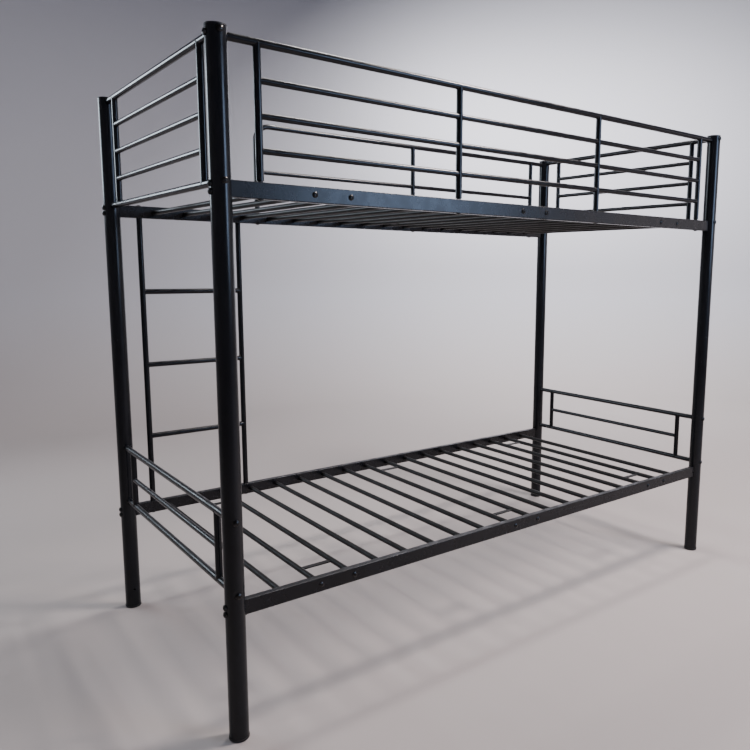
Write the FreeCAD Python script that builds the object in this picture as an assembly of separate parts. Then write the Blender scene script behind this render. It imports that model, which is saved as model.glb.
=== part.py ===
"""Steel-tube bunk bed for two 900 x 2000 mm mattresses, with a ladder at the back left.

Millimetres. +X runs along the bed, +Y from the front to the back, +Z up.
The origin is on the floor, at the centre of the bed's plan.
"""
import FreeCAD, Part
import math
import os

# ---- driving dimensions -------------------------------------------------------------------
POST_SPACING_X = 2050.0        # centre to centre of the posts, along the bed
POST_SPACING_Y = 925.0         # centre to centre of the posts, across the bed
POST_R = 25.0
POST_WALL = 1.5
POST_BOTTOM_Z = 8.0            # the tube stands on the flange of its foot cap
POST_TOP_Z = 1729.0
FOOT_HOLE_Z = 67.0             # vent hole on the inner side of each post
FOOT_HOLE_R = 3.5

RAIL_HEIGHT = 40.0             # side rails are 40 x 20 rectangular tube
RAIL_WIDTH = 20.0
RAIL_WALL = 1.2
RAIL_CORNER_R = 2.0
UPPER_RAIL_Z = 1376.0          # centre heights of the side rails, and of the slats
LOWER_RAIL_Z = 349.0
RAIL_BOLT_SPACING = 18.0

TUBE_R = 9.5                   # rails, uprights and ladder stiles
BAR_R = 8.0                    # infill bars and slats
RUNG_R = 9.0
TUBE_WALL = 1.2

UPRIGHT_INSET_END = 97.0       # end panel uprights, from the post centres
UPPER_END_TOP_Z = 1719.0
UPPER_END_BOTTOM_Z = 1391.5
UPPER_END_BARS_Z = (1471.0, 1554.0, 1636.5)
LOWER_END_TOP_Z = 578.0
LOWER_END_BOTTOM_Z = 390.5
LOWER_END_BARS_Z = (483.0,)

GUARD_TOP_Z = 1712.5
GUARD_UPRIGHT_INSET = 97.5
FRONT_GUARD_BARS_Z = (1469.0, 1549.0, 1629.0)
FRONT_GUARD_BAYS = 3
BACK_GUARD_LEG_INSET = 510.5   # the gap to its left is the way in from the ladder
BACK_GUARD_BAR_Z = 1546.0
BACK_GUARD_BEND_R = 55.0
GUARD_FOOT_GAP = 3.0

LADDER_LEFT_INSET = 84.5       # from the left post centres
LADDER_RIGHT_INSET = 432.0
LADDER_FIRST_RUNG_Z = 604.5
LADDER_RUNG_PITCH = 252.5
LADDER_RUNGS = 3

SLAT_COUNT = 18
SLAT_PITCH = 104.8
BOLTED_PAIRS = ((1, 2), (8, 9), (15, 16))    # slats joined into H-frames and bolted
TIE_INSET = 115.0              # tie bars, from the rail centres
TIE_WIDTH = 16.0
TIE_THICKNESS = 3.0

BOLT_R = 2.95                  # M6
THREAD_R = 3.0
BOLT_HOLE_R = 3.3
HEAD_R = 7.5
HEAD_EDGE = 1.2
HEAD_HEIGHT = 3.6
SOCKET_FLATS = 4.0
SOCKET_DEPTH = 2.0
WASHER_R = 8.0
WASHER_THICKNESS = 2.0
INSERT_LENGTH = 20.0
INSERT_BITE = 16.0             # how far a bolt enters its insert
SADDLE_THICKNESS = 3.0
NUT_PLATE_THICKNESS = 8.0
SLAT_HOLE_CLEARANCE = 0.2

CAP_FLANGE = 3.0
CAP_DOME = 1.5
TOP_PLUG_LENGTH = 6.0          # short, to stay clear of the topmost bolts
FOOT_PLUG_LENGTH = 22.0
CAP_PLUG_WALL = 2.0
FOOT_FLANGE_R = 26.0
FOOT_ROUND = 3.0

# ---- worked out from the driving dimensions -----------------------------------------------
HALF_X = POST_SPACING_X / 2
HALF_Y = POST_SPACING_Y / 2
POSTS = {
    "front_left": (-HALF_X, -HALF_Y),
    "front_right": (HALF_X, -HALF_Y),
    "back_left": (-HALF_X, HALF_Y),
    "back_right": (HALF_X, HALF_Y),
}
ENDS = {"left": -HALF_X, "right": HALF_X}
SIDES = {"front": -HALF_Y, "back": HALF_Y}
DECKS = {"upper": UPPER_RAIL_Z, "lower": LOWER_RAIL_Z}
END_RAILS_Z = (UPPER_END_TOP_Z, UPPER_END_BOTTOM_Z, LOWER_END_TOP_Z, LOWER_END_BOTTOM_Z)
WASHER_FACE = POST_R + WASHER_THICKNESS
SADDLE_FACE = POST_R + SADDLE_THICKNESS
SLATS_X = [(i - (SLAT_COUNT - 1) / 2) * SLAT_PITCH for i in range(SLAT_COUNT)]
BOLTED_SLATS = [i for pair in BOLTED_PAIRS for i in pair]
UPPER_RAIL_TOP = UPPER_RAIL_Z + RAIL_HEIGHT / 2
UPPER_RAIL_BOTTOM = UPPER_RAIL_Z - RAIL_HEIGHT / 2
LOWER_RAIL_TOP = LOWER_RAIL_Z + RAIL_HEIGHT / 2
LOWER_RAIL_BOTTOM = LOWER_RAIL_Z - RAIL_HEIGHT / 2
GUARD_FOOT_Z = UPPER_RAIL_TOP + GUARD_FOOT_GAP

GUARD_END_X = HALF_X - GUARD_UPRIGHT_INSET
GUARD_BAY = 2 * GUARD_END_X / FRONT_GUARD_BAYS
FRONT_UPRIGHTS_X = [-GUARD_END_X + i * GUARD_BAY for i in range(FRONT_GUARD_BAYS + 1)]
BACK_LEG_X = -HALF_X + BACK_GUARD_LEG_INSET
BACK_UPRIGHTS_X = [(BACK_LEG_X + GUARD_END_X) / 2, GUARD_END_X]
STILES_X = {"left": -HALF_X + LADDER_LEFT_INSET, "right": -HALF_X + LADDER_RIGHT_INSET}
RUNGS_Z = [LADDER_FIRST_RUNG_Z + i * LADDER_RUNG_PITCH for i in range(LADDER_RUNGS)]

X = FreeCAD.Vector(1, 0, 0)
Y = FreeCAD.Vector(0, 1, 0)
Z = FreeCAD.Vector(0, 0, 1)


# ---- basic shapes -------------------------------------------------------------------------
def vec(x, y, z):
    return FreeCAD.Vector(x, y, z)


def rod(start, end, radius):
    """A round bar from one point to another."""
    return Part.makeCylinder(radius, (end - start).Length, start, end - start)


def tube(start, end, radius, wall=TUBE_WALL):
    """A round tube, open at both ends."""
    return rod(start, end, radius).cut(rod(start, end, radius - wall))


def post_core(x, y):
    """The space that a post fills, as a plain cylinder."""
    return Part.makeCylinder(POST_R, POST_TOP_Z, vec(x, y, 0))


def cope(shape, *cutters):
    """Trim a shape where it meets others, and keep its largest piece."""
    for cutter in cutters:
        shape = shape.cut(cutter)
    return max(shape.Solids, key=lambda solid: solid.Volume)


def save(node, solids):
    """Write one node, as one solid or as a group of separate solids."""
    solids = [piece for solid in solids for piece in solid.Solids]
    shape = solids[0] if len(solids) == 1 else Part.makeCompound(solids)
    shape.exportStep("parts/%s.step" % node)


# ---- fasteners ----------------------------------------------------------------------------
def bolt(seat, direction, length):
    """M6 button-head bolt: its head stands on the seat, and its shank runs along direction."""
    half_chord = HEAD_R
    rise = HEAD_HEIGHT - HEAD_EDGE
    dome_r = (half_chord ** 2 + rise ** 2) / (2 * rise)
    lean = math.asin(half_chord / dome_r) / 2
    crown = vec(dome_r * math.sin(lean), 0, -HEAD_HEIGHT + dome_r * (1 - math.cos(lean)))
    arc = Part.Arc(vec(HEAD_R, 0, -HEAD_EDGE), crown, vec(0, 0, -HEAD_HEIGHT)).toShape()
    outline = Part.makePolygon([vec(0, 0, -HEAD_HEIGHT), vec(0, 0, length), vec(BOLT_R, 0, length),
                                vec(BOLT_R, 0, 0), vec(HEAD_R, 0, 0), vec(HEAD_R, 0, -HEAD_EDGE)])
    face = Part.Face(Part.Wire(outline.Edges + [arc]))
    shape = Part.Solid(face.revolve(vec(0, 0, 0), Z, 360))
    if shape.Volume < 0:
        shape.reverse()
    corner = SOCKET_FLATS / math.sqrt(3)
    hexagon = [vec(corner * math.cos(i * math.pi / 3), corner * math.sin(i * math.pi / 3), -HEAD_HEIGHT)
               for i in range(7)]
    socket = Part.Face(Part.makePolygon(hexagon)).extrude(Z * SOCKET_DEPTH)
    shape = shape.cut(socket)
    shape.Placement = FreeCAD.Placement(seat, FreeCAD.Rotation(Z, direction))
    return shape


def insert(start, direction, radius, length=INSERT_LENGTH):
    """Threaded plug welded into a tube's end."""
    end = start + direction * length
    return rod(start, end, radius).cut(rod(start, end, THREAD_R))


def curved_washer(axis_point, outward):
    """Washer with one flat face and one face that fits the round post."""
    blank = rod(axis_point, axis_point + outward * WASHER_FACE, WASHER_R)
    blank = blank.cut(rod(axis_point, axis_point + outward * WASHER_FACE, BOLT_HOLE_R))
    return cope(blank, post_core(axis_point.x, axis_point.y))


# ---- where the bolts cross the posts ------------------------------------------------------
def post_bolts(name):
    """(height, outward direction, kind) of each bolt in one post."""
    x, y = POSTS[name]
    across = Y if y > 0 else -Y
    along = X if x > 0 else -X
    bolts = [(z, across, "end_rail") for z in END_RAILS_Z]
    for rail_z in DECKS.values():
        bolts.append((rail_z + RAIL_BOLT_SPACING / 2, along, "side_rail"))
        bolts.append((rail_z - RAIL_BOLT_SPACING / 2, along, "side_rail"))
    if name != "back_left":
        bolts.append((GUARD_TOP_Z, along, "guard_end"))
    return bolts


def post_bolt_solids(kind):
    """The bolts of one kind, in all the posts."""
    reach = {"end_rail": POST_R + INSERT_BITE, "guard_end": POST_R + INSERT_BITE,
             "side_rail": SADDLE_FACE + NUT_PLATE_THICKNESS}[kind]
    solids = []
    for name, (x, y) in POSTS.items():
        for z, outward, bolt_kind in post_bolts(name):
            if bolt_kind == kind:
                solids.append(bolt(vec(x, y, z) + outward * WASHER_FACE, -outward, WASHER_FACE + reach))
    return solids


# ---- posts and caps -----------------------------------------------------------------------
def post(name):
    x, y = POSTS[name]
    shape = tube(vec(x, y, POST_BOTTOM_Z), vec(x, y, POST_TOP_Z), POST_R, POST_WALL)
    for z, outward, _ in post_bolts(name):
        centre = vec(x, y, z)
        shape = shape.cut(rod(centre - outward * 2 * POST_R, centre + outward * 2 * POST_R, BOLT_HOLE_R))
    inward = -Y if y > 0 else Y
    foot = vec(x, y, FOOT_HOLE_Z)
    return shape.cut(rod(foot, foot + inward * 2 * POST_R, FOOT_HOLE_R))


def cap_plug(x, y, z, reach):
    """Hollow plug that grips the inside of a post's end."""
    return tube(vec(x, y, z), vec(x, y, z + reach), POST_R - POST_WALL, CAP_PLUG_WALL)


def top_cap(x, y):
    dome_r = (POST_R ** 2 + CAP_DOME ** 2) / (2 * CAP_DOME)
    ball = Part.makeSphere(dome_r, vec(x, y, POST_TOP_Z + CAP_FLANGE + CAP_DOME - dome_r))
    blank = Part.makeCylinder(POST_R, CAP_FLANGE + CAP_DOME, vec(x, y, POST_TOP_Z))
    return blank.common(ball).fuse(cap_plug(x, y, POST_TOP_Z, -TOP_PLUG_LENGTH)).removeSplitter()


def foot_cap(x, y):
    flange = Part.makeCylinder(FOOT_FLANGE_R, POST_BOTTOM_Z, vec(x, y, 0))
    rim = [edge for edge in flange.Edges if edge.Closed and edge.CenterOfMass.z < 1]
    flange = flange.makeFillet(FOOT_ROUND, rim)
    return flange.fuse(cap_plug(x, y, POST_BOTTOM_Z, FOOT_PLUG_LENGTH)).removeSplitter()


# ---- end panels ---------------------------------------------------------------------------
def end_rail(x, z):
    """Tube from post to post, its ends coped to the posts."""
    shape = tube(vec(x, -HALF_Y, z), vec(x, HALF_Y, z), TUBE_R)
    return cope(shape, post_core(x, -HALF_Y), post_core(x, HALF_Y))


def end_infill(x, bottom_z, top_z, bars_z):
    """Two uprights between the rails, and the bars between the uprights."""
    uprights_y = (-HALF_Y + UPRIGHT_INSET_END, HALF_Y - UPRIGHT_INSET_END)
    rails = [rod(vec(x, -HALF_Y, z), vec(x, HALF_Y, z), TUBE_R) for z in (bottom_z, top_z)]
    cores = [rod(vec(x, y, bottom_z), vec(x, y, top_z), TUBE_R) for y in uprights_y]
    solids = []
    for y in uprights_y:
        solids.append(cope(tube(vec(x, y, bottom_z), vec(x, y, top_z), TUBE_R), *rails))
    for z in bars_z:
        bar = tube(vec(x, uprights_y[0], z), vec(x, uprights_y[1], z), BAR_R)
        solids.append(cope(bar, *cores))
    return solids


def end_rail_inserts():
    solids = []
    for x, y in POSTS.values():
        inward = -Y if y > 0 else Y
        for z in END_RAILS_Z:
            plug = insert(vec(x, y, z), inward, TUBE_R - TUBE_WALL, POST_R + INSERT_LENGTH)
            solids.append(cope(plug, post_core(x, y)))
    return solids


# ---- side rails ---------------------------------------------------------------------------
def rail_box(x0, x1, y, z, shrink=0.0):
    """Rectangular bar along X with rounded edges; shrink takes it in on its four long sides."""
    width = RAIL_WIDTH - 2 * shrink
    height = RAIL_HEIGHT - 2 * shrink
    shape = Part.makeBox(x1 - x0, width, height, vec(x0, y - width / 2, z - height / 2))
    long_edges = [edge for edge in shape.Edges if abs(edge.tangentAt(0).x) > 0.9]
    return shape.makeFillet(RAIL_CORNER_R - shrink, long_edges)


def saddle_core(x, y, z):
    """The space inside a rail's end saddle: the post with the saddle's thickness added."""
    return Part.makeCylinder(SADDLE_FACE, RAIL_HEIGHT, vec(x, y, z - RAIL_HEIGHT / 2))


def vertical_bolts_x(deck, side):
    """Places where a bolt passes up or down through a side rail."""
    places = []
    if side == "back":
        places += list(STILES_X.values())
    if deck == "upper":
        places += FRONT_UPRIGHTS_X if side == "front" else [BACK_LEG_X] + BACK_UPRIGHTS_X
    return places


def side_rail(deck, side):
    y = SIDES[side]
    z = DECKS[deck]
    inward = Y if side == "front" else -Y
    shape = rail_box(-HALF_X, HALF_X, y, z).cut(rail_box(-HALF_X, HALF_X, y, z, RAIL_WALL))
    for x in ENDS.values():
        shape = cope(shape, saddle_core(x, y, z))
    centre = vec(0, y, z)
    for slat_x in SLATS_X:
        start = centre + X * slat_x
        shape = shape.cut(rod(start, start + inward * RAIL_WIDTH, BAR_R + SLAT_HOLE_CLEARANCE))
    for i in BOLTED_SLATS:
        start = centre + X * SLATS_X[i]
        shape = shape.cut(rod(start, start - inward * RAIL_WIDTH, BOLT_HOLE_R))
    for bolt_x in vertical_bolts_x(deck, side):
        start = centre + X * bolt_x
        shape = shape.cut(rod(start - Z * RAIL_HEIGHT, start + Z * RAIL_HEIGHT, BOLT_HOLE_R))
    return shape


def rail_ends():
    """(post x, y, rail z, direction into the rail) of each side rail's two ends."""
    for x, y in POSTS.values():
        for z in DECKS.values():
            yield x, y, z, (-X if x > 0 else X)


def rail_bolt_holes(x, y, z, into_rail, radius):
    """The two bolt holes at a rail's end, as one cutter."""
    holes = []
    for offset in (RAIL_BOLT_SPACING / 2, -RAIL_BOLT_SPACING / 2):
        start = vec(x, y, z + offset)
        holes.append(rod(start, start + into_rail * 2 * POST_R, radius))
    return Part.makeCompound(holes)


def rail_saddle(x, y, z, into_rail):
    """Curved plate on a rail's end, which fits round the post."""
    blank = saddle_core(x, y, z).cut(post_core(x, y))
    window = Part.makeBox(SADDLE_FACE, RAIL_WIDTH, RAIL_HEIGHT,
                          vec(x if into_rail.x > 0 else x - SADDLE_FACE, y - RAIL_WIDTH / 2, z - RAIL_HEIGHT / 2))
    return blank.common(window).cut(rail_bolt_holes(x, y, z, into_rail, BOLT_HOLE_R))


def nut_plate(x, y, z, into_rail):
    """Threaded plate inside a rail's end."""
    near = x + into_rail.x * SADDLE_FACE
    far = near + into_rail.x * NUT_PLATE_THICKNESS
    block = rail_box(min(near, far), max(near, far), y, z, RAIL_WALL)
    return block.cut(rail_bolt_holes(x, y, z, into_rail, THREAD_R))


# ---- slats --------------------------------------------------------------------------------
SLAT_END_Y = HALF_Y + RAIL_WIDTH / 2 - RAIL_WALL


def slat(i, z):
    return tube(vec(SLATS_X[i], -SLAT_END_Y, z), vec(SLATS_X[i], SLAT_END_Y, z), BAR_R)


def slat_frame(pair, z):
    """Two slats joined by a flat tie bar near each end."""
    left, right = [SLATS_X[i] for i in pair]
    cores = [rod(vec(x, -SLAT_END_Y, z), vec(x, SLAT_END_Y, z), BAR_R) for x in (left, right)]
    solids = [slat(i, z) for i in pair]
    for y in (-HALF_Y + TIE_INSET, HALF_Y - TIE_INSET):
        tie = Part.makeBox(right - left, TIE_WIDTH, TIE_THICKNESS,
                           vec(left, y - TIE_WIDTH / 2, z - TIE_THICKNESS / 2))
        solids.append(cope(tie, *cores))
    return solids


def bolted_slat_ends():
    """(end point, direction into the slat) of each end of the bolted slats."""
    for z in DECKS.values():
        for i in BOLTED_SLATS:
            yield vec(SLATS_X[i], -SLAT_END_Y, z), Y
            yield vec(SLATS_X[i], SLAT_END_Y, z), -Y


def slat_inserts():
    return [insert(end, into, BAR_R - TUBE_WALL) for end, into in bolted_slat_ends()]


def slat_bolts():
    return [bolt(end - into * RAIL_WALL, into, RAIL_WALL + INSERT_BITE) for end, into in bolted_slat_ends()]


# ---- guard rails --------------------------------------------------------------------------
def guard_upright(x, y):
    """Tube from just above the side rail to the guard's top rail."""
    top_core = rod(vec(-HALF_X, y, GUARD_TOP_Z), vec(HALF_X, y, GUARD_TOP_Z), TUBE_R)
    return cope(tube(vec(x, y, GUARD_FOOT_Z), vec(x, y, GUARD_TOP_Z), TUBE_R), top_core)


def guard_bars(uprights_x, y, heights):
    """Bars between neighbouring uprights."""
    cores = [rod(vec(x, y, GUARD_FOOT_Z), vec(x, y, GUARD_TOP_Z), TUBE_R) for x in uprights_x]
    solids = []
    for z in heights:
        for i in range(len(uprights_x) - 1):
            bar = tube(vec(uprights_x[i], y, z), vec(uprights_x[i + 1], y, z), BAR_R)
            solids.append(cope(bar, cores[i], cores[i + 1]))
    return solids


def front_guard_top_rail():
    shape = tube(vec(-HALF_X, -HALF_Y, GUARD_TOP_Z), vec(HALF_X, -HALF_Y, GUARD_TOP_Z), TUBE_R)
    return cope(shape, post_core(-HALF_X, -HALF_Y), post_core(HALF_X, -HALF_Y))


def back_guard_bent_rail():
    """One tube that rises from the side rail, turns a round corner and runs to the right post."""
    turn_z = GUARD_TOP_Z - BACK_GUARD_BEND_R
    turn_x = BACK_LEG_X + BACK_GUARD_BEND_R
    diagonal = BACK_GUARD_BEND_R * math.cos(math.pi / 4)
    foot = vec(BACK_LEG_X, HALF_Y, GUARD_FOOT_Z)
    bend_start = vec(BACK_LEG_X, HALF_Y, turn_z)
    bend_middle = vec(turn_x - diagonal, HALF_Y, turn_z + diagonal)
    bend_end = vec(turn_x, HALF_Y, GUARD_TOP_Z)
    leg = Part.LineSegment(foot, bend_start).toShape()
    bend = Part.Arc(bend_start, bend_middle, bend_end).toShape()
    run = Part.LineSegment(bend_end, vec(HALF_X, HALF_Y, GUARD_TOP_Z)).toShape()
    path = Part.Wire([leg, bend, run])
    rings = [Part.Wire(Part.makeCircle(radius, foot, Z)) for radius in (TUBE_R, TUBE_R - TUBE_WALL)]
    outer, inner = [path.makePipeShell([ring], True, False) for ring in rings]
    return cope(outer.cut(inner), post_core(HALF_X, HALF_Y))


def guard_feet():
    """Foot of each guard upright, on the centre line."""
    feet = [vec(x, -HALF_Y, GUARD_FOOT_Z) for x in FRONT_UPRIGHTS_X]
    return feet + [vec(x, HALF_Y, GUARD_FOOT_Z) for x in [BACK_LEG_X] + BACK_UPRIGHTS_X]


def guard_foot_spacers():
    solids = []
    for foot in guard_feet():
        solids.append(tube(foot - Z * GUARD_FOOT_GAP, foot, BAR_R - TUBE_WALL, BAR_R - TUBE_WALL - BOLT_HOLE_R))
    return solids


def guard_foot_bolts():
    reach = RAIL_HEIGHT + GUARD_FOOT_GAP + INSERT_BITE
    return [bolt(vec(foot.x, foot.y, UPPER_RAIL_BOTTOM), Z, reach) for foot in guard_feet()]


def guard_inserts():
    solids = [insert(foot, Z, TUBE_R - TUBE_WALL) for foot in guard_feet()]
    for name, (x, y) in POSTS.items():
        if name == "back_left":
            continue
        inward = -X if x > 0 else X
        plug = insert(vec(x, y, GUARD_TOP_Z), inward, TUBE_R - TUBE_WALL, POST_R + INSERT_LENGTH)
        solids.append(cope(plug, post_core(x, y)))
    return solids


# ---- ladder -------------------------------------------------------------------------------
def ladder_stile(side):
    x = STILES_X[side]
    return tube(vec(x, HALF_Y, LOWER_RAIL_TOP), vec(x, HALF_Y, UPPER_RAIL_BOTTOM), TUBE_R)


def ladder_rung(z):
    cores = [rod(vec(x, HALF_Y, LOWER_RAIL_TOP), vec(x, HALF_Y, UPPER_RAIL_BOTTOM), TUBE_R)
             for x in STILES_X.values()]
    bar = tube(vec(STILES_X["left"], HALF_Y, z), vec(STILES_X["right"], HALF_Y, z), RUNG_R)
    return cope(bar, *cores)


def ladder_inserts():
    solids = []
    for x in STILES_X.values():
        solids.append(insert(vec(x, HALF_Y, LOWER_RAIL_TOP), Z, TUBE_R - TUBE_WALL))
        solids.append(insert(vec(x, HALF_Y, UPPER_RAIL_BOTTOM), -Z, TUBE_R - TUBE_WALL))
    return solids


def ladder_bolts():
    solids = []
    for x in STILES_X.values():
        solids.append(bolt(vec(x, HALF_Y, LOWER_RAIL_BOTTOM), Z, RAIL_HEIGHT + INSERT_BITE))
        solids.append(bolt(vec(x, HALF_Y, UPPER_RAIL_TOP), -Z, RAIL_HEIGHT + INSERT_BITE))
    return solids


# ---- the nodes ----------------------------------------------------------------------------
def write_posts():
    for name, (x, y) in POSTS.items():
        save("post_" + name, [post(name)])
        save("top_cap_" + name, [top_cap(x, y)])
        save("foot_cap_" + name, [foot_cap(x, y)])


def write_end_panels():
    levels = {
        "upper": (UPPER_END_BOTTOM_Z, UPPER_END_TOP_Z, UPPER_END_BARS_Z),
        "lower": (LOWER_END_BOTTOM_Z, LOWER_END_TOP_Z, LOWER_END_BARS_Z),
    }
    for deck, (bottom_z, top_z, bars_z) in levels.items():
        for end, x in ENDS.items():
            panel = "%s_%s_end_" % (deck, end)
            save(panel + "top_rail", [end_rail(x, top_z)])
            save(panel + "bottom_rail", [end_rail(x, bottom_z)])
            save(panel + "infill", end_infill(x, bottom_z, top_z, bars_z))


def write_side_rails():
    for deck in DECKS:
        for side in SIDES:
            save("%s_%s_side_rail" % (deck, side), [side_rail(deck, side)])
    save("rail_end_saddles", [rail_saddle(*end) for end in rail_ends()])
    save("rail_nut_plates", [nut_plate(*end) for end in rail_ends()])


def write_slats():
    for deck, z in DECKS.items():
        save(deck + "_slats", [slat(i, z) for i in range(SLAT_COUNT) if i not in BOLTED_SLATS])
        for number, pair in enumerate(BOLTED_PAIRS, 1):
            save("%s_slat_frame_%d" % (deck, number), slat_frame(pair, z))
    save("slat_inserts", slat_inserts())
    save("slat_bolts", slat_bolts())


def write_guards():
    save("front_guard_top_rail", [front_guard_top_rail()])
    save("front_guard_uprights", [guard_upright(x, -HALF_Y) for x in FRONT_UPRIGHTS_X])
    save("front_guard_bars", guard_bars(FRONT_UPRIGHTS_X, -HALF_Y, FRONT_GUARD_BARS_Z))
    save("back_guard_bent_rail", [back_guard_bent_rail()])
    save("back_guard_uprights", [guard_upright(x, HALF_Y) for x in BACK_UPRIGHTS_X])
    save("back_guard_bars", guard_bars([BACK_LEG_X] + BACK_UPRIGHTS_X, HALF_Y, (BACK_GUARD_BAR_Z,)))
    save("guard_foot_spacers", guard_foot_spacers())
    save("guard_foot_bolts", guard_foot_bolts())


def write_ladder():
    for side in STILES_X:
        save("ladder_%s_stile" % side, [ladder_stile(side)])
    for number, z in enumerate(RUNGS_Z, 1):
        save("ladder_rung_%d" % number, [ladder_rung(z)])
    save("ladder_bolts", ladder_bolts())


def write_tube_inserts():
    save("tube_inserts", end_rail_inserts() + guard_inserts() + ladder_inserts())


def write_post_bolts():
    for kind in ("end_rail", "side_rail", "guard_end"):
        save(kind + "_bolts", post_bolt_solids(kind))
    washers = []
    for name, (x, y) in POSTS.items():
        washers += [curved_washer(vec(x, y, z), outward) for z, outward, _ in post_bolts(name)]
    save("curved_washers", washers)


os.makedirs("parts", exist_ok=True)
write_posts()
write_end_panels()
write_side_rails()
write_slats()
write_guards()
write_ladder()
write_tube_inserts()
write_post_bolts()
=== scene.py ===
import bpy
import bmesh
import math
from mathutils import Matrix, Vector, noise


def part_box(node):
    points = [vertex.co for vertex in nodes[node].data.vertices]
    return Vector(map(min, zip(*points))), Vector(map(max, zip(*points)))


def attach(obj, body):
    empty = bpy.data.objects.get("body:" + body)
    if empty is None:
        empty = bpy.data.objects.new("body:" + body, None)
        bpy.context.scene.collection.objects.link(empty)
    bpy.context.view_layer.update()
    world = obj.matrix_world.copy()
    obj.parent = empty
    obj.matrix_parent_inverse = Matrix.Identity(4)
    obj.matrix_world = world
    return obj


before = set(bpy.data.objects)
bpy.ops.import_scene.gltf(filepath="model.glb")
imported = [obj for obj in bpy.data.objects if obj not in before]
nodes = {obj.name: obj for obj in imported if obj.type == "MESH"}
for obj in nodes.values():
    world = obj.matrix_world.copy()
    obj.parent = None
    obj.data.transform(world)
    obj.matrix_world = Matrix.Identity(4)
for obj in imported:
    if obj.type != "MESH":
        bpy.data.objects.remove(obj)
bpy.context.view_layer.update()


# ---------------------------------------------------------------- materials

PEEL_DEPTH = 0.000025       # metres of orange peel in the powder coat
DUST = 0.03                 # the most that settled dust covers of an upward face
DUST_COLOR = (0.21, 0.2, 0.195, 1.0)
DUST_DULLS = 0.35           # roughness that dust adds where it is thickest


def new_material(name):
    mat = bpy.data.materials.new(name)
    mat.use_nodes = True
    tree = mat.node_tree
    return mat, tree.nodes, tree.links, tree.nodes["Principled BSDF"]


def object_coordinates(n):
    return n.new("ShaderNodeTexCoord").outputs["Object"]


def feed(links, socket, value):
    """Sets a socket to a plain value, or links it to another node's output."""
    if isinstance(value, (float, tuple)):
        socket.default_value = value
    else:
        links.new(value, socket)


def noise_node(n, links, coord, scale, detail, roughness=0.5):
    texture = n.new("ShaderNodeTexNoise")
    texture.inputs["Scale"].default_value = scale
    texture.inputs["Detail"].default_value = detail
    texture.inputs["Roughness"].default_value = roughness
    links.new(coord, texture.inputs["Vector"])
    return texture.outputs["Fac"]


def two_tone(n, links, fac, *stops):
    """A colour ramp through two stops, each a position and a colour."""
    ramp = n.new("ShaderNodeValToRGB")
    for element, (position, color) in zip(ramp.color_ramp.elements, stops):
        element.position = position
        element.color = (*color, 1.0)
    links.new(fac, ramp.inputs["Fac"])
    return ramp.outputs["Color"]


def range_node(n, links, value, source, target):
    span = n.new("ShaderNodeMapRange")
    span.inputs["From Min"].default_value = source[0]
    span.inputs["From Max"].default_value = source[1]
    span.inputs["To Min"].default_value = target[0]
    span.inputs["To Max"].default_value = target[1]
    links.new(value, span.inputs["Value"])
    return span.outputs["Result"]


def math_node(n, links, operation, *values, clamp=False):
    node = n.new("ShaderNodeMath")
    node.operation = operation
    node.use_clamp = clamp
    for socket, value in zip(node.inputs, values):
        feed(links, socket, value)
    return node.outputs[0]


def color_mix(n, links, factor, a, b):
    mix = n.new("ShaderNodeMix")
    mix.data_type = "RGBA"
    links.new(factor, mix.inputs["Factor"])
    feed(links, mix.inputs["A"], a)
    feed(links, mix.inputs["B"], b)
    return mix.outputs["Result"]


def bump_node(n, links, height, strength, distance, under=None):
    """A bump's normal, added to the normal `under` where there is one."""
    bump = n.new("ShaderNodeBump")
    bump.inputs["Strength"].default_value = strength
    bump.inputs["Distance"].default_value = distance
    links.new(height, bump.inputs["Height"])
    if under is not None:
        links.new(under, bump.inputs["Normal"])
    return bump.outputs["Normal"]


def powder_coat(name, dark, light, rough, spec=0.3):
    """Satin black powder coat: orange peel, fine texture, a slow drift in tint, and a little
    settled dust on faces that point up."""
    mat, n, links, bsdf = new_material(name)
    coord = object_coordinates(n)
    drift = noise_node(n, links, coord, scale=7.0, detail=4.0)
    fine = noise_node(n, links, coord, scale=900.0, detail=2.0)
    peel = noise_node(n, links, coord, scale=260.0, detail=3.0, roughness=0.55)
    smear = noise_node(n, links, coord, scale=24.0, detail=6.0, roughness=0.62)

    tint = two_tone(n, links, drift, (0.3, dark), (0.72, light))
    normal = n.new("ShaderNodeNewGeometry").outputs["Normal"]
    split = n.new("ShaderNodeSeparateXYZ")
    links.new(normal, split.inputs[0])
    upward = range_node(n, links, split.outputs["Z"], (0.35, 1.0), (0.0, 1.0))
    patches = range_node(n, links, smear, (0.38, 0.72), (0.15, 1.0))
    dusty = math_node(n, links, "MULTIPLY", upward, patches)
    amount = math_node(n, links, "MULTIPLY", dusty, DUST)
    links.new(color_mix(n, links, amount, tint, DUST_COLOR), bsdf.inputs["Base Color"])

    # handled patches are a little glossier, dusty ones duller
    handled = range_node(n, links, smear, (0.25, 0.75), (rough - 0.05, rough + 0.07))
    dulled = math_node(n, links, "MULTIPLY_ADD", dusty, DUST_DULLS, handled, clamp=True)
    links.new(dulled, bsdf.inputs["Roughness"])
    bsdf.inputs["Specular IOR Level"].default_value = spec

    coarse = bump_node(n, links, peel, strength=0.5, distance=PEEL_DEPTH)
    both = bump_node(n, links, fine, strength=0.35, distance=PEEL_DEPTH * 0.4, under=coarse)
    links.new(both, bsdf.inputs["Normal"])
    return mat


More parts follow.
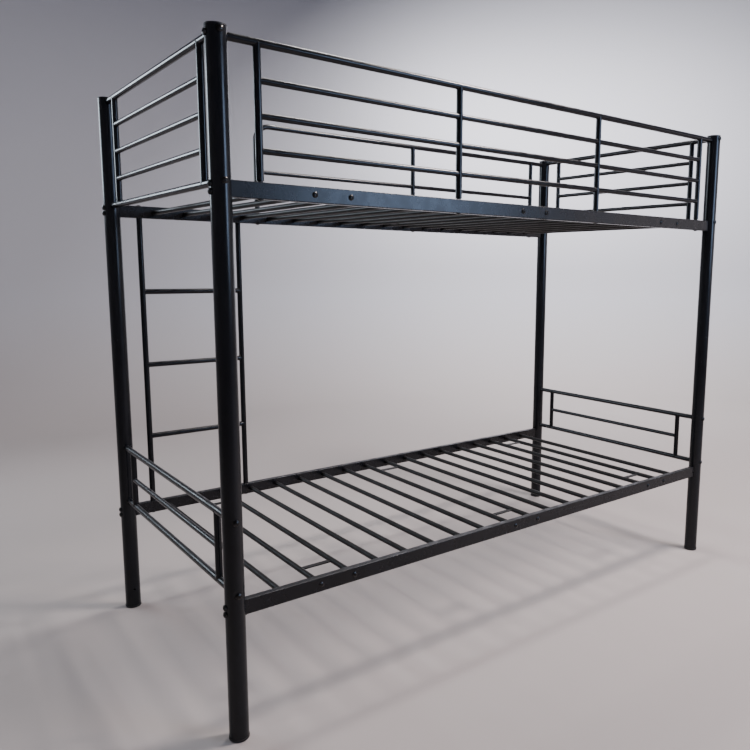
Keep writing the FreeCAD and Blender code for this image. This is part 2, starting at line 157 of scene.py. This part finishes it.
def matte_plastic(name, dark, light):
    """Moulded plastic with a fine grain."""
    mat, n, links, bsdf = new_material(name)
    coord = object_coordinates(n)
    grain = noise_node(n, links, coord, scale=1500.0, detail=3.0, roughness=0.6)
    tone = noise_node(n, links, coord, scale=30.0, detail=4.0)
    links.new(two_tone(n, links, tone, (0.3, dark), (0.7, light)), bsdf.inputs["Base Color"])
    links.new(range_node(n, links, tone, (0.3, 0.7), (0.48, 0.62)), bsdf.inputs["Roughness"])
    bump = bump_node(n, links, grain, strength=0.5, distance=0.00008)
    links.new(bump, bsdf.inputs["Normal"])
    return mat


def plated(name, dark, light, rough):
    """Plated fastener metal with a fine grain and rubbed high spots."""
    mat, n, links, bsdf = new_material(name)
    coord = object_coordinates(n)
    tone = noise_node(n, links, coord, scale=160.0, detail=5.0, roughness=0.6)
    wear = noise_node(n, links, coord, scale=420.0, detail=4.0, roughness=0.7)
    links.new(two_tone(n, links, tone, (0.32, dark), (0.7, light)), bsdf.inputs["Base Color"])
    bsdf.inputs["Metallic"].default_value = 1.0
    worn = range_node(n, links, wear, (0.3, 0.7), (rough - 0.06, rough + 0.12))
    links.new(worn, bsdf.inputs["Roughness"])
    bump = bump_node(n, links, wear, strength=0.4, distance=0.00005)
    links.new(bump, bsdf.inputs["Normal"])
    return mat


# for each of the record's slots: the material's name, its darker and lighter colour, roughness
finishes = {
    "post_paint": powder_coat(
        "post_powder_coat", (0.0030, 0.0036, 0.0052), (0.0056, 0.0066, 0.0090), 0.21),
    "rail_paint": powder_coat(
        "rail_powder_coat", (0.0038, 0.0038, 0.0048), (0.0072, 0.0070, 0.0086), 0.27),
    "tube_paint": powder_coat(
        "tube_powder_coat", (0.0030, 0.0036, 0.0050), (0.0058, 0.0066, 0.0088), 0.20),
    "slat_paint": powder_coat(
        "slat_powder_coat", (0.0038, 0.0033, 0.0034), (0.0072, 0.0062, 0.0064), 0.38, spec=0.22),
    "bolt_black": plated(
        "black_zinc", (0.026, 0.025, 0.025), (0.055, 0.054, 0.053), 0.27),
    "cap_plastic": matte_plastic(
        "cap_plastic", (0.0035, 0.0038, 0.0045), (0.0065, 0.0068, 0.0075)),
    "insert_steel": plated(
        "zinc_plated_steel", (0.32, 0.33, 0.35), (0.6, 0.6, 0.62), 0.32),
}

for o in nodes.values():
    for i, cad_material in enumerate(list(o.data.materials)):
        o.data.materials[i] = finishes[cad_material.name.split(".")[0]]

# ---------------------------------------------------------------- weld beads

BEAD_R = 0.0013
BEAD_SINK = 0.0004          # how far a bead's centre line lies inside the joint's corner
BEAD_WOBBLE = 0.3           # slow change in a bead's radius, as a share of it
BEAD_RIPPLE = 0.12          # the torch's ripples, as a share of it
BEAD_RIPPLES = 17           # ripples in one turn
BEAD_NOISE_R = 5.0          # radius of the circle on which the slow change is read
BEAD_NOISE_STEP = 3.7       # how far apart those circles are from one bead to the next
RING_STEPS = 40
BEAD_STEPS = 8
END_SLACK = 0.002           # how far a tube's end may miss the crossing tube's side or end
LINE_SLACK = 0.003          # how far two crossing tubes' axes may pass each other


class Tube:
    """A straight round tube along X, Y or Z, from points that span it."""

    def __init__(self, points):
        lo = Vector([min(p[i] for p in points) for i in range(3)])
        hi = Vector([max(p[i] for p in points) for i in range(3)])
        size = hi - lo
        self.axis = max(range(3), key=lambda i: size[i])
        self.radius = min(size[i] for i in range(3) if i != self.axis) / 2
        self.start = (lo + hi) / 2
        self.end = self.start.copy()
        self.start[self.axis] = lo[self.axis]
        self.end[self.axis] = hi[self.axis]


def islands(node):
    """Point lists of the separate solids in a CAD node."""
    bm = bmesh.new()
    bm.from_mesh(nodes[node].data)
    bmesh.ops.remove_doubles(bm, verts=bm.verts, dist=1e-6)
    seen = set()
    found = []
    for v in bm.verts:
        if v.index in seen:
            continue
        stack, points = [v], []
        seen.add(v.index)
        while stack:
            w = stack.pop()
            points.append(w.co.copy())
            for e in w.link_edges:
                x = e.other_vert(w)
                if x.index not in seen:
                    seen.add(x.index)
                    stack.append(x)
        found.append(points)
    bm.free()
    return found


def tubes(*names):
    """The tubes in CAD nodes whose solids are all straight tubes."""
    return [Tube(points) for n in names for points in islands(n)]


def unit(i):
    v = Vector((0.0, 0.0, 0.0))
    v[i] = 1.0
    return v


def bead_ring(bm, centre, along, main_axis, r, main_r, seed):
    """A bead round a tube of radius r that ends on a crossing tube of radius main_r. centre is
    where the two axes meet, and along points from there into the ending tube."""
    across = along.cross(main_axis)
    loops = []
    for k in range(RING_STEPS):
        a = 2 * math.pi * k / RING_STEPS
        off = r * (math.cos(a) * main_axis + math.sin(a) * across)
        reach = math.sqrt(max(main_r ** 2 - (r * math.sin(a)) ** 2, 0.0))
        p = centre + off + along * reach
        round_main = p - centre - main_axis * (p - centre).dot(main_axis)
        out = (off.normalized() + round_main.normalized()).normalized()
        onward = (-math.sin(a) * main_axis + math.cos(a) * across).normalized()
        beside = out.cross(onward).normalized()
        wobble = noise.noise(Vector((seed * BEAD_NOISE_STEP, math.cos(a) * BEAD_NOISE_R,
                                     math.sin(a) * BEAD_NOISE_R)))
        ripple = math.sin(a * BEAD_RIPPLES + seed) * BEAD_RIPPLE
        bead_r = BEAD_R * (1.0 + BEAD_WOBBLE * wobble + ripple)
        c = p - out * BEAD_SINK
        turns = [2 * math.pi * j / BEAD_STEPS for j in range(BEAD_STEPS)]
        loops.append([bm.verts.new(c + bead_r * (math.cos(b) * out + math.sin(b) * beside))
                      for b in turns])
    for k in range(RING_STEPS):
        one, two = loops[k], loops[(k + 1) % RING_STEPS]
        for j in range(BEAD_STEPS):
            j2 = (j + 1) % BEAD_STEPS
            bm.faces.new((one[j], two[j], two[j2], one[j2])).smooth = True


def meets(tip, t, m):
    """Whether `tip`, an end of the tube t, lies on the side of the tube m."""
    if m is t or m.axis == t.axis:
        return False
    gap = tip - m.start
    off_line = 3 - m.axis - t.axis
    return (m.start[m.axis] - END_SLACK < tip[m.axis] < m.end[m.axis] + END_SLACK
            and abs(gap[t.axis]) <= m.radius + END_SLACK
            and abs(gap[off_line]) <= LINE_SLACK)


def mesh_object(name, bm, material):
    """A new object in the scene with the mesh of bm, which is freed."""
    mesh = bpy.data.meshes.new(name)
    bm.to_mesh(mesh)
    bm.free()
    o = bpy.data.objects.new(name, mesh)
    bpy.context.scene.collection.objects.link(o)
    mesh.materials.append(material)
    return o


def weld_group(name, ending, crossing, slot_name="tube_paint"):
    """Beads where the ends of the tubes in `ending` meet the sides of those in `crossing`."""
    bm = bmesh.new()
    seed = 0.0
    for t in ending:
        for tip, inward in ((t.start, 1.0), (t.end, -1.0)):
            for m in crossing:
                if meets(tip, t, m):
                    seed += 1.0
                    centre = tip.copy()
                    centre[t.axis] = m.start[t.axis]
                    bead_ring(bm, centre, unit(t.axis) * inward, unit(m.axis),
                              t.radius, m.radius, seed)
    bmesh.ops.recalc_face_normals(bm, faces=bm.faces)
    o = mesh_object(name, bm, finishes[slot_name])
    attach(o, "root")


for deck in ("upper", "lower"):
    for end in ("left", "right"):
        part = deck + "_" + end + "_end"
        infill = tubes(part + "_infill")
        weld_group(part + "_weld_beads", infill,
                   tubes(part + "_top_rail", part + "_bottom_rail") + infill)

front_uprights = tubes("front_guard_uprights")
weld_group("front_guard_weld_beads", front_uprights + tubes("front_guard_bars"),
           tubes("front_guard_top_rail") + front_uprights)

# the bent rail counts as two straight tubes: its run along the top and its leg
back_uprights = tubes("back_guard_uprights")
lo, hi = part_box("back_guard_bent_rail")
tube_r = (hi.y - lo.y) / 2
run = Tube([Vector((lo.x + tube_r, lo.y, hi.z - 2 * tube_r)), Vector((hi.x, hi.y, hi.z))])
leg = Tube([Vector((lo.x, lo.y, lo.z)), Vector((lo.x + 2 * tube_r, hi.y, hi.z))])
weld_group("back_guard_weld_beads", back_uprights + tubes("back_guard_bars"),
           back_uprights + [run, leg])

weld_group("ladder_weld_beads", tubes("ladder_rung_1", "ladder_rung_2", "ladder_rung_3"),
           tubes("ladder_left_stile", "ladder_right_stile"))

# ---------------------------------------------------------------- stage and light

FLOOR_COLOR = (0.37, 0.335, 0.325, 1.0)
WALL_COLOR = (0.42, 0.42, 0.45, 1.0)
COLOR_TURN = 0.9            # height at which the floor's colour has become the wall's
STUDIO_CENTRE = (0.3, -1.5)
FLOOR_RINGS = (1.5, 3.2)
FLOOR_R = 4.9
COVE_R = 1.2
COVE_STEPS = 12
WALL_TOP = 6.5
STUDIO_TURNS = 96


def backdrop_material(name):
    """Plain matte backdrop: one tone on the floor that drifts into another up the wall."""
    mat, n, links, bsdf = new_material(name)
    coord = object_coordinates(n)
    split = n.new("ShaderNodeSeparateXYZ")
    links.new(coord, split.inputs[0])
    height = range_node(n, links, split.outputs["Z"], (0.0, COLOR_TURN), (0.0, 1.0))
    links.new(color_mix(n, links, height, FLOOR_COLOR, WALL_COLOR), bsdf.inputs["Base Color"])
    bsdf.inputs["Roughness"].default_value = 0.8
    return mat


def studio_floor():
    """A plain round floor that curves up into a backdrop on every side."""
    profile = [(r, 0.0) for r in (*FLOOR_RINGS, FLOOR_R)]
    for i in range(1, COVE_STEPS + 1):
        a = math.pi / 2 * i / COVE_STEPS
        profile.append((FLOOR_R + COVE_R * math.sin(a), COVE_R - COVE_R * math.cos(a)))
    profile.append((FLOOR_R + COVE_R, WALL_TOP))
    angles = [2 * math.pi * k / STUDIO_TURNS for k in range(STUDIO_TURNS)]
    x, y = STUDIO_CENTRE
    bm = bmesh.new()
    rings = [[bm.verts.new((x + r * math.cos(a), y + r * math.sin(a), z)) for a in angles]
             for r, z in profile]
    bm.faces.new(rings[0])
    for low, high in zip(rings, rings[1:]):
        for k in range(STUDIO_TURNS):
            k2 = (k + 1) % STUDIO_TURNS
            bm.faces.new((low[k], high[k], high[k2], low[k2]))
    for f in bm.faces:
        f.smooth = True
    o = mesh_object("studio_floor", bm, backdrop_material("studio_floor"))


def area_light(name, at, to, width, height, power, color):
    light = bpy.data.lights.new(name, "AREA")
    light.shape = "RECTANGLE"
    light.size = width
    light.size_y = height
    light.energy = power
    light.color = color
    o = bpy.data.objects.new(name, light)
    bpy.context.scene.collection.objects.link(o)
    o.location = at
    o.rotation_euler = (Vector(to) - Vector(at)).to_track_quat("-Z", "Y").to_euler()
    o.visible_camera = False


studio_floor()

world = bpy.data.worlds.new("studio")
world.use_nodes = True
background = world.node_tree.nodes["Background"]
background.inputs["Color"].default_value = (0.80, 0.82, 1.0, 1.0)
background.inputs["Strength"].default_value = 0.075
bpy.context.scene.world = world

# name, where it is, what it points at, width, height, watts, colour
area_light("ceiling_left", (-1.4, 0.4, 3.9), (-1.0, 0.4, 0.0), 0.7, 0.5, 24, (1.0, 0.97, 0.95))
area_light("ceiling_mid", (0.7, 0.7, 3.9), (0.7, 0.6, 0.0), 0.7, 0.5, 75, (1.0, 0.97, 0.95))
area_light("ceiling_warm", (1.4, -1.2, 3.7), (1.2, -1.1, 0.0), 0.7, 0.7, 215, (1.0, 0.89, 0.86))
area_light("wall_wash", (2.95, 1.9, 2.95), (4.9, 3.3, 1.1), 2.6, 0.6, 200, (0.98, 0.97, 1.0))
area_light("window_left", (-2.57, 2.9, 2.15), (-0.9, 0.0, 1.7), 1.75, 1.0, 52, (0.77, 0.89, 1.0))
area_light("window_front", (2.1, -4.2, 2.05), (0.2, -0.4, 1.5), 1.6, 1.5, 84, (0.48, 0.66, 1.0))
area_light("fill_right", (4.6, -3.4, 1.7), (0.6, -0.46, 1.4), 1.7, 1.4, 9, (1.0, 0.92, 0.97))

# ---------------------------------------------------------------- camera

# from a perspective fit to the photograph: metres, degrees (yaw from +Y towards +X), millimetres
CAMERA_AT = (-1.68593, -2.10370, 1.19539)
CAMERA_YAW, CAMERA_PITCH, CAMERA_ROLL = 38.8947, -7.9629, 0.4601
CAMERA_SENSOR = 36.0
CAMERA_LENS = 34.396
CAMERA_SHIFT_X, CAMERA_SHIFT_Y = -0.09102, -0.00796
CAMERA_CLIP = 60.0

cam_data = bpy.data.cameras.new("camera")
cam = bpy.data.objects.new("camera", cam_data)
bpy.context.scene.collection.objects.link(cam)
yaw, pitch, roll = (math.radians(v) for v in (CAMERA_YAW, CAMERA_PITCH, CAMERA_ROLL))
fwd = Vector((math.sin(yaw) * math.cos(pitch), math.cos(yaw) * math.cos(pitch), math.sin(pitch)))
right = Vector((math.cos(yaw), -math.sin(yaw), 0.0))
above = right.cross(fwd)
side = right * math.cos(roll) + above * math.sin(roll)
top = -right * math.sin(roll) + above * math.cos(roll)
placement = Matrix((side, top, -fwd)).transposed().to_4x4()
placement.translation = Vector(CAMERA_AT)
cam.matrix_world = placement
cam_data.sensor_width = CAMERA_SENSOR
cam_data.lens = CAMERA_LENS
cam_data.shift_x = CAMERA_SHIFT_X
cam_data.shift_y = CAMERA_SHIFT_Y
cam_data.clip_end = CAMERA_CLIP
bpy.context.scene.camera = cam
